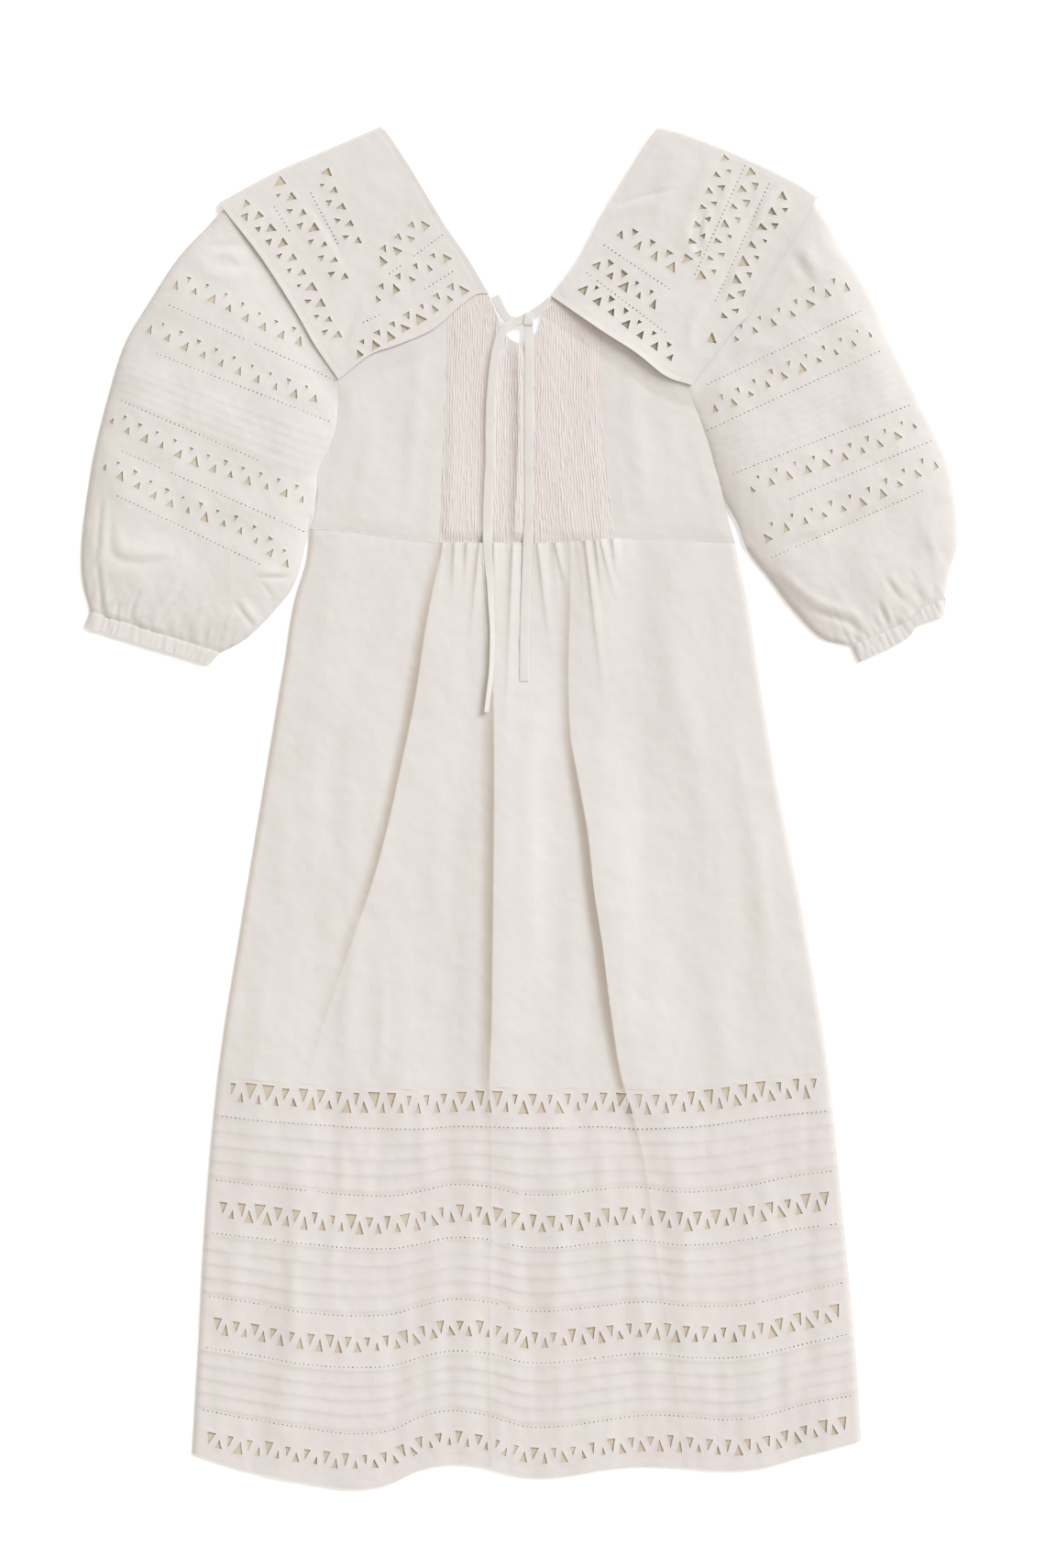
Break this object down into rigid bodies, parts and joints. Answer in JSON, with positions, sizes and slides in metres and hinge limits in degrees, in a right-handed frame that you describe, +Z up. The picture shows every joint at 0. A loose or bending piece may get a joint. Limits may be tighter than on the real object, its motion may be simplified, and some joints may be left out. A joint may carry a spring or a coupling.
{
  "type": "puff sleeve dress",
  "caption": "Midi cotton dress laid flat: puff sleeves, wide mitred cutwork collar, smocked centre front with neck tie, gathered skirt with cutwork and tucked border.",
  "frame": {"origin": "on the surface under the middle of the dress's box", "axes": "+Y from hem to neck, +X to the right as seen from above, +Z up out of the front of the dress"},
  "size_m": [0.7656, 1.1878, 0.0136],
  "materials": {
    "cloth": "matt woven cotton, warm white",
    "border": "matt woven cotton with cutwork and tucks",
    "smocking": "matt woven cotton, gathered",
    "tie": "matt woven cotton strap"
  },
  "bodies": {
    "root": {"back_skirt": "cloth", "front_skirt": "cloth", "back_bodice": "cloth", "bodice_side_left": "cloth", "bodice_side_right": "cloth", "sleeve_left_front": "cloth", "sleeve_left_back": "cloth", "sleeve_right_front": "cloth", "sleeve_right_back": "cloth", "cuff_left_front": "cloth", "cuff_left_back": "cloth", "cuff_right_front": "cloth", "cuff_right_back": "cloth", "collar_left_front": "cloth", "collar_left_back": "cloth", "collar_right_front": "cloth", "collar_right_back": "cloth", "back_border": "border", "front_border": "border", "smocked_panel": "smocking", "tie_left": "tie", "tie_right": "tie", "tie_knot": "tie"}
  },
  "joints": []
}
